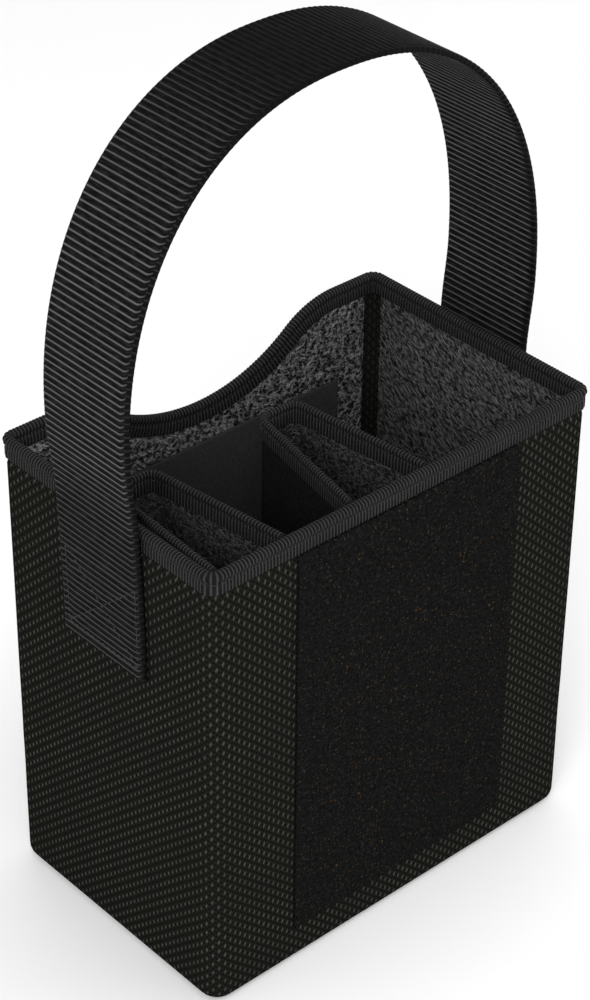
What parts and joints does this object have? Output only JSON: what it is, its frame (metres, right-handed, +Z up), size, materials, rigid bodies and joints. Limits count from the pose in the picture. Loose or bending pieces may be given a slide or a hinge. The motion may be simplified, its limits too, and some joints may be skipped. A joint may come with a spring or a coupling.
{
  "type": "tool storage caddy",
  "caption": "Open rectangular fabric caddy with a scooped back wall, tapered pockets hung inside the front rim, outer and inner loop fields, a bound rim and a wide arched webbing handle.",
  "frame": {"origin": "on the surface the caddy stands on, under the middle of its overall box", "axes": "+X to the right along the front wall, +Y from the front wall with the outer loop panel to the scooped back wall, +Z up"},
  "size_m": [0.2116, 0.1305, 0.3705],
  "materials": {
    "spacer_mesh": "matt knitted spacer mesh, black with small lighter oval stitches",
    "stiffener": "plain matt board",
    "coated_lining": "crinkled coated cloth with a soft gloss",
    "flecked_loop": "matt brushed loop field with sparse warm flecks",
    "plain_loop": "matt brushed loop field",
    "binding_tape": "ribbed tape with a low sheen",
    "webbing": "cross-ribbed webbing with a low sheen",
    "thread": "sewing thread"
  },
  "bodies": {
    "caddy": {"body_wrap": "spacer_mesh", "back_cover": "spacer_mesh", "base_cover": "spacer_mesh", "base_board": "stiffener", "front_board": "stiffener", "back_board": "stiffener", "left_board": "stiffener", "right_board": "stiffener", "base_lining": "coated_lining", "front_lining": "coated_lining", "back_lining": "coated_lining", "left_lining": "coated_lining", "right_lining": "coated_lining", "front_loop_panel": "flecked_loop", "inner_loop_panel": "plain_loop", "rim_binding": "binding_tape", "left_pocket_wall": "plain_loop", "left_pocket_lining": "coated_lining", "left_pocket_floor": "coated_lining", "left_pocket_binding": "binding_tape", "middle_pocket_wall": "plain_loop", "middle_pocket_lining": "coated_lining", "middle_pocket_floor": "coated_lining", "middle_pocket_binding": "binding_tape", "strap_left_leg": "webbing", "strap_right_leg": "webbing", "strap_left_stitching": "thread", "strap_right_stitching": "thread"},
    "handle": {"strap_arch": "webbing"}
  },
  "joints": [
    {"name": "handle_swing", "type": "hinge", "parent": "caddy", "child": "handle", "pos_m": [0, 0, 0.215], "axis": [1, 0, 0], "range_deg": [-75, 75], "stiffness_Nm_per_rad": 0.06}
  ]
}
